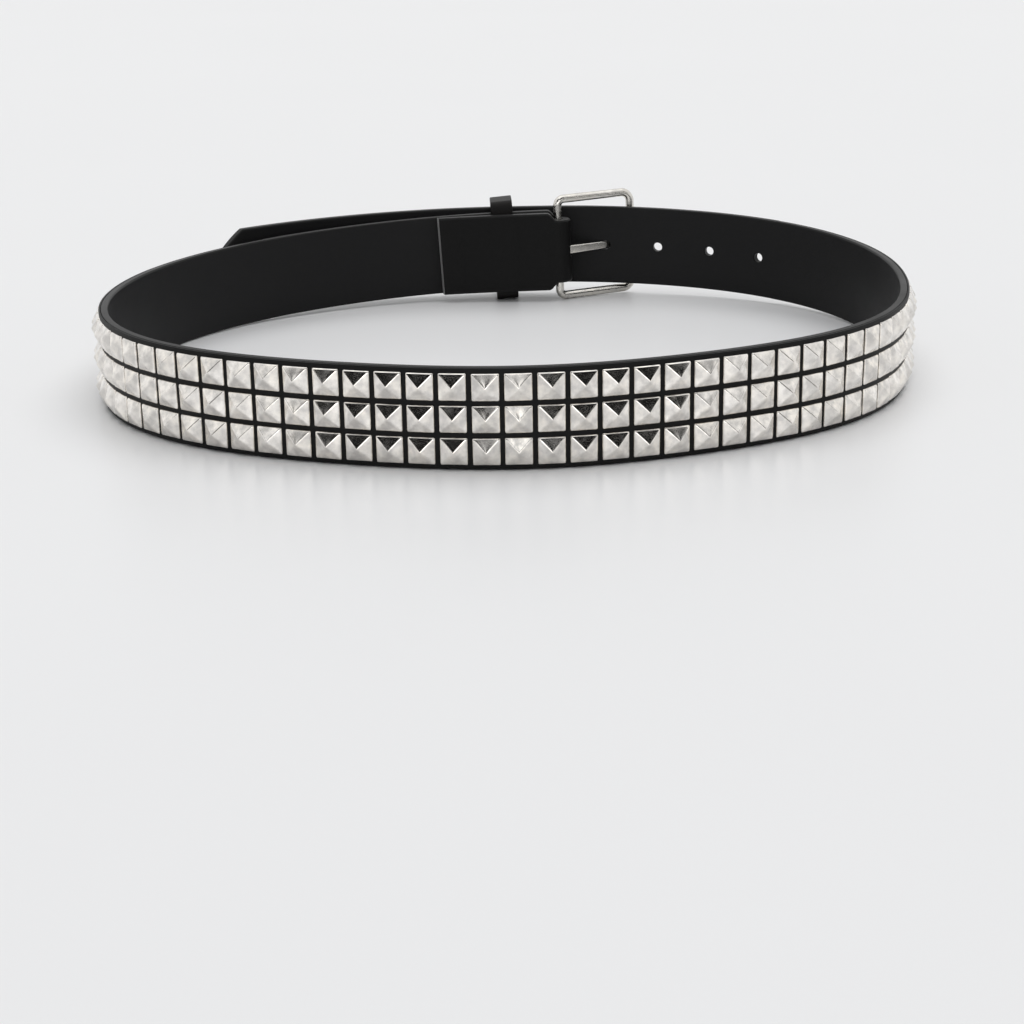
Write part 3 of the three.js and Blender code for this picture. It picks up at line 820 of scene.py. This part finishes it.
def prong_arm(guide, gap):
    """The prong's arm, from the bar to its round point, grown by a gap."""
    buckle = guide.buckle
    start = guide.bar_grip + buckle.prong_thickness / 2
    end = buckle.pitch + buckle.prong_reach + gap
    thick, wide = buckle.prong_thickness + 2 * gap, buckle.prong_width + 2 * gap
    nose = thick * buckle.prong_taper / 2
    nose_places = [end - nose + nose * math.sin(math.radians(15 * i)) for i in range(6)]
    stations = []
    for x in steps_between(start, end - nose, 1.5 * MM) + nose_places:
        size = 1 - (1 - buckle.prong_taper) * (x - start) / (end - start)
        past = max(x - (end - nose), 0) / nose
        stations.append((x, size * math.sqrt(max(1 - past**2, 0.02)), size))
    section = rounded_rectangle(thick, wide, 0.36 * thick, 6)
    placement = guide.bar_placement(guide.prong_angle, guide.prong_level)
    rings = [
        [placement @ Vector((x, a * thin, b * size)) for a, b in section]
        for x, thin, size in stations
    ]
    return skin_mesh("prong_arm", rings, False)


def prong_hook(guide):
    """The prong's hook, an open C round the heel bar."""
    buckle = guide.buckle
    middle = guide.bar_grip + buckle.prong_thickness / 2
    section = rounded_rectangle(buckle.prong_thickness, buckle.prong_width, 0.6 * MM, 6)
    placement = guide.bar_placement(guide.prong_angle, guide.prong_level)
    rings = []
    for i in range(HOOK_STEPS + 1):
        angle = buckle.hook_start + (buckle.hook_end - buckle.hook_start) * i / HOOK_STEPS
        away = Vector((math.cos(angle), math.sin(angle), 0))
        rings.append([placement @ (away * middle + away * a + UP * b) for a, b in section])
    return skin_mesh("prong_hook", rings, False)


def stud_profile(studs):
    """Places (out, height) from a stud's foot over its round brim to near its point."""
    half, brim = studs.size / 2, studs.brim
    slope = math.atan2(studs.height - studs.lip, half)
    middle_out = half - brim
    middle_up = studs.height - brim / math.cos(slope) - middle_out * math.tan(slope)
    turns, rises = 4, 4
    profile = [(half, -studs.root)]
    for i in range(turns + 1):
        angle = (math.pi / 2 - slope) * i / turns
        profile.append((middle_out + brim * math.cos(angle), middle_up + brim * math.sin(angle)))
    facet_start = profile[-1][0]
    for i in range(1, rises + 1):
        out = facet_start + (studs.ridge / 2 - facet_start) * i / rises
        profile.append((out, studs.height - out * math.tan(slope)))
    return profile, facet_start


def stud_ring(out, height, studs, facet_start):
    """A rounded square round the stud's middle, its sides sunk a little where it is a facet."""
    sides, bends = 4, 3
    corner = min(studs.ridge, out)
    sink = studs.dish * math.sin(math.pi * min(out / facet_start, 1)) if out < facet_start else 0
    ring = []
    for quarter in range(4):
        spin = Matrix.Rotation(math.pi / 2 * quarter, 3, "Z")
        for i in range(sides):
            across = (out - corner) * (2 * i / sides - 1)
            share = 1 - (2 * i / sides - 1) ** 2
            ring.append(spin @ Vector((out, across, height - sink * share)))
        for i in range(bends):
            angle = math.pi / 2 * i / bends
            x = out - corner + corner * math.cos(angle)
            y = out - corner + corner * math.sin(angle)
            ring.append(spin @ Vector((x, y, height)))
    return ring


def stud_shape(studs):
    """One pressed stud as points and faces, drawn with z out of the belt."""
    profile, facet_start = stud_profile(studs)
    rings = [stud_ring(out, height, studs, facet_start) for out, height in profile]
    count = len(rings[0])
    points = [point for ring in rings for point in ring]
    points.append(Vector((0, 0, studs.height - 0.12 * studs.ridge)))
    faces = [tuple(reversed(range(count)))] + grid_faces(len(rings), count, count)
    last = (len(rings) - 1) * count
    faces += [(last + j, last + (j + 1) % count, len(points) - 1) for j in range(count)]
    return points, faces


def stud_mesh(guide):
    """All the studs as one mesh, each clinched a little out of true."""
    studs = guide.studs
    dice = random.Random(STUD_SEED)
    shape_points, shape_faces = stud_shape(studs)
    points, faces = [], []
    for seat, along, out, up in guide.stud_seats():
        lean_along, lean_up = (dice.uniform(-studs.tilt, studs.tilt) for _ in range(2))
        spin = dice.uniform(-0.4, 0.4) * studs.tilt
        slip = Vector((dice.uniform(-1, 1), dice.uniform(-1, 1), 0)) * studs.slip
        lean = Quaternion((1, 0, 0), lean_along) @ Quaternion((0, 1, 0), lean_up)
        lean = lean @ Quaternion((0, 0, 1), spin)
        placement = matrix_of(along, up, out, seat)
        first = len(points)
        points += [placement @ (lean @ point + slip) for point in shape_points]
        faces += [tuple(first + index for index in face) for face in shape_faces]
    mesh = bpy.data.meshes.new("pyramid_studs")
    mesh.from_pydata(points, [], faces)
    return mesh


class BELT_OT_strap(bpy.types.Operator):
    """Make the strap, with its fold, holes and pointed tail."""

    bl_idname = "belt.make_strap"
    bl_label = "Strap"

    def execute(self, context):
        guide, finish = Guide(context.scene), context.scene.belt_finish
        rings = strap_rings(guide)
        mesh = skin_mesh("strap_leather", rings, False)
        names = ("outer_leather", "lining_leather", "edge_paint", "raw_cut")
        coats = [leather_material(name, finish) for name in names]
        piece = add_object("strap_leather", mesh, *coats)
        paint_section(mesh, len(rings[0]), outer=0, inner=1, edge=2, cap=3)
        prong_cutter = add_object("prong_cutter", prong_arm(guide, guide.strap.slot_gap))
        cutters = [*hole_cutters(guide), slot_cutter(guide), prong_cutter]
        combine(piece, "DIFFERENCE", cutters)
        smooth(piece, 40)
        dress(piece, "leather", "strap")
        return {"FINISHED"}


class BELT_OT_studs(bpy.types.Operator):
    """Make the facing and the rows of pyramid studs that are set in it."""

    bl_idname = "belt.make_studs"
    bl_label = "Studs and Facing"

    def execute(self, context):
        guide, finish = Guide(context.scene), context.scene.belt_finish
        section = rounded_section(
            0, guide.studs.facing, guide.half - guide.strap.edge_crown, BED_ROUND, 0.2 * MM, 0,
            FACING_FACE_STEPS,
        )
        rings = []
        places = steps_between(guide.facing_start, guide.facing_end, 2 * MM)
        for distance in places + [guide.facing_end]:
            point, _, out, up = guide.strap_station(distance)
            rings.append([point - out * inward + up * height for inward, height in section])
        leather = leather_material("facing_leather", finish)
        facing = add_object("stud_facing", skin_mesh("stud_facing", rings, False), leather)
        smooth(facing, 40)
        dress(facing, "leather", "stud_field")
        plate = plate_material("stud_plate", finish)
        studs = add_object("pyramid_studs", stud_mesh(guide), plate)
        smooth(studs, 50)
        dress(studs, "stud_metal", "stud_field")
        return {"FINISHED"}


class BELT_OT_buckle(bpy.types.Operator):
    """Make the buckle's frame from a bent rod."""

    bl_idname = "belt.make_buckle"
    bl_label = "Buckle Frame"

    def execute(self, context):
        guide, finish = Guide(context.scene), context.scene.belt_finish
        buckle, strap = guide.buckle, guide.strap
        height = buckle.strap_rest + strap.right_ride + strap.width + buckle.frame_slack + buckle.rod
        path = rounded_path(buckle.pitch, height, buckle.heel_corner, buckle.far_corner, 16, 2 * MM)
        placement = guide.bar_placement(guide.frame_lean, 0)
        section = round_section(buckle.rod / 2, ROD_SIDES)
        rings = [
            [placement @ Vector((x + a * away_x, b, y + a * away_y)) for a, b in section]
            for x, y, away_x, away_y in path
        ]
        plate = plate_material("buckle_plate", finish)
        piece = add_object("buckle_rod", skin_mesh("buckle_rod", settle(rings), True), plate)
        smooth(piece, 60)
        dress(piece, "buckle_metal", "buckle_frame")
        return {"FINISHED"}


class BELT_OT_prong(bpy.types.Operator):
    """Make the prong that passes through the strap's hole."""

    bl_idname = "belt.make_prong"
    bl_label = "Prong"

    def execute(self, context):
        guide, finish = Guide(context.scene), context.scene.belt_finish
        plate = plate_material("prong_plate", finish)
        piece = add_object("buckle_prong", prong_arm(guide, 0), plate)
        hook = add_object("hook", prong_hook(guide), plate)
        combine(piece, "UNION", [hook])
        smooth(piece, 45)
        dress(piece, "buckle_metal", "prong")
        return {"FINISHED"}


class BELT_OT_keeper(bpy.types.Operator):
    """Make the leather keeper round the buckle end and the tail."""

    bl_idname = "belt.make_keeper"
    bl_label = "Keeper"

    def execute(self, context):
        guide, finish = Guide(context.scene), context.scene.belt_finish
        buckle, strap = guide.buckle, guide.strap
        point, along, out, _ = guide.strap_station(buckle.keeper_distance)
        tail_point = guide.face_point(guide.loop_length + buckle.keeper_distance)
        tail_out = (tail_point - point).dot(out)
        inner = -strap.thickness - 2 * strap.fit_gap - buckle.keeper_wall
        depth = tail_out + buckle.keeper_slack + buckle.keeper_wall - inner
        height = guide.right_lift + strap.width + buckle.keeper_headroom + buckle.keeper_wall
        path = rounded_path(depth, height, buckle.keeper_corner, buckle.keeper_corner, 10, 2 * MM)
        section = rounded_rectangle(buckle.keeper_wall, buckle.keeper_width, 0.5 * MM, 5)
        askew = Quaternion(out, -buckle.keeper_tilt)
        rise, across = askew @ UP, askew @ along
        origin = Vector((point.x, point.y, height / 2)) + out * inner
        rings = []
        for x, y, away_x, away_y in path:
            away = out * away_x + rise * away_y
            middle = origin + out * x + rise * y - away * (buckle.keeper_wall / 2)
            rings.append([middle + away * a + across * b for a, b in section])
        leather = leather_material("keeper_leather", finish)
        piece = add_object("keeper_loop", skin_mesh("keeper_loop", settle(rings), True), leather)
        smooth(piece, 50)
        dress(piece, "leather", "keeper")
        return {"FINISHED"}


class BELT_OT_stage(bpy.types.Operator):
    """Make the floor, the soft light and the camera."""

    bl_idname = "belt.make_stage"
    bl_label = "Stage"

    def execute(self, context):
        stage = context.scene.belt_stage
        make_floor(stage)
        make_light(context.scene, stage)
        make_camera(context.scene, stage)
        return {"FINISHED"}


def make_floor(stage):
    """A wide pale floor with a faint gloss."""
    mesh = bpy.data.meshes.new("floor")
    half = stage.floor_half
    mesh.from_pydata([(x * half, y * half, -0.02 * MM) for x, y in SQUARE], [], [(0, 1, 2, 3)])
    paper = Shader("pale_floor", stage.floor, 0.32)
    paper.surface.inputs["Specular IOR Level"].default_value = 0.25
    clouds = paper.noise(2.2, 2.0)
    dark, light = scaled(stage.floor, 0.985), scaled(stage.floor, 1.01)
    paper.feed("Base Color", paper.shade(clouds, dark, light))
    floor = add_object("floor", mesh, paper.material)
    floor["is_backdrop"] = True


# Cards round the belt that only reflections see: name, azimuths and elevations in degrees,
# distance, brightness
CARDS = (
    ("dark_card_left", (-50, -5), (24, 57), 3.0, 0.012),
    ("dark_card_right", (5, 50), (24, 57), 3.0, 0.012),
    ("low_dark_card_left", (-66, -38), (11, 24), 3.0, 0.012),
    ("low_dark_card_right", (38, 66), (11, 24), 3.0, 0.012),
    ("bright_card_middle", (-5, 5), (24, 57), 3.1, 1.35),
    ("bright_card_low", (-24, 24), (8, 24), 3.2, 2.0),
    ("surround_card", (-180, 180), (0, 60), 4.0, 0.9),
    ("overhead_card", (-180, 180), (60, 90), 4.0, 1.35),
)


def make_card(name, azimuths, elevations, distance, brightness):
    """Part of a glowing sphere round the belt, its azimuths in degrees from the front."""
    columns, rows = max(6, round((azimuths[1] - azimuths[0]) / 8)), 8
    points = []
    for j in range(rows + 1):
        e = math.radians(elevations[0] + (elevations[1] - elevations[0]) * j / rows)
        for i in range(columns + 1):
            a = math.radians(azimuths[0] + (azimuths[1] - azimuths[0]) * i / columns)
            way = Vector((math.sin(a) * math.cos(e), -math.cos(a) * math.cos(e), math.sin(e)))
            points.append(way * distance)
    mesh = bpy.data.meshes.new(name)
    mesh.from_pydata(points, [], grid_faces(rows + 1, columns + 1, columns))
    material = bpy.data.materials.new(name)
    material.use_nodes = True
    material.cycles.emission_sampling = "NONE"
    tree = material.node_tree
    tree.nodes.clear()
    glow = tree.nodes.new("ShaderNodeEmission")
    glow.inputs["Color"].default_value = (brightness, brightness, brightness, 1)
    output = tree.nodes.new("ShaderNodeOutputMaterial")
    tree.links.new(glow.outputs["Emission"], output.inputs["Surface"])
    card = add_object(name, mesh, material)
    for ray in ("camera", "diffuse", "shadow", "transmission"):
        setattr(card, "visible_" + ray, False)
    card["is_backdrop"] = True


def make_light(scene, stage):
    """Even light from all round, soft light from above, and the cards for reflections."""
    world = bpy.data.worlds.new("soft_surround")
    world.use_nodes = True
    background = world.node_tree.nodes["Background"]
    background.inputs["Color"].default_value = (*stage.surround, 1)
    background.inputs["Strength"].default_value = stage.surround_strength
    scene.world = world
    for card in CARDS:
        make_card(*card)
    top = bpy.data.lights.new("top_light", "SUN")
    top.energy, top.angle = stage.top_strength, stage.top_spread
    light = bpy.data.objects.new("top_light", top)
    light.rotation_euler = (math.radians(-12), math.radians(8), 0)
    light.visible_glossy = False
    scene.collection.objects.link(light)
    scene.view_settings.view_transform = "Standard"


def make_camera(scene, stage):
    """The camera, where the photograph was taken from."""
    data = bpy.data.cameras.new("camera")
    data.sensor_width = 36
    data.lens = stage.focal_share * data.sensor_width
    camera = bpy.data.objects.new("camera", data)
    camera.location = stage.camera_position
    aim = Quaternion((1, 0, 0), math.pi / 2 - stage.camera_pitch)
    camera.rotation_mode = "QUATERNION"
    camera.rotation_quaternion = aim @ Quaternion((0, 0, 1), stage.camera_roll)
    scene.collection.objects.link(camera)
    scene.camera = camera


OPERATORS = (
    BELT_OT_strap, BELT_OT_studs, BELT_OT_keeper, BELT_OT_buckle, BELT_OT_prong, BELT_OT_stage,
)


class BELT_PT_panel(bpy.types.Panel):
    """Lists the belt's pieces in the sidebar."""

    bl_label = "Studded Belt"
    bl_idname = "BELT_PT_panel"
    bl_space_type = "VIEW_3D"
    bl_region_type = "UI"
    bl_category = "Belt"

    def draw(self, context):
        for operator in OPERATORS:
            self.layout.operator(operator.bl_idname)
        for group in GROUPS:
            box = self.layout.box()
            settings = getattr(context.scene, group)
            for name in settings.__annotations__:
                box.prop(settings, name)


GROUPS = {
    "belt_strap": BeltStrapSizes,
    "belt_studs": BeltStudSizes,
    "belt_buckle": BeltBuckleSizes,
    "belt_finish": BeltFinish,
    "belt_stage": BeltStage,
}


def register():
    """Registers the classes and keeps the settings with the scene."""
    for made in (*GROUPS.values(), *OPERATORS, BELT_PT_panel):
        bpy.utils.register_class(made)
    for name, settings in GROUPS.items():
        setattr(bpy.types.Scene, name, PointerProperty(type=settings))


def unregister():
    """Takes the settings and the classes away."""
    for name in GROUPS:
        delattr(bpy.types.Scene, name)
    for made in reversed((*GROUPS.values(), *OPERATORS, BELT_PT_panel)):
        bpy.utils.unregister_class(made)


def main():
    """Makes every piece and the stage."""
    register()
    for operator in OPERATORS:
        group, name = operator.bl_idname.split(".")
        getattr(getattr(bpy.ops, group), name)()
    [[list(corner) for corner in box] for box in (CAD_BOUNDS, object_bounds())]


if __name__ == "__main__":
    main()
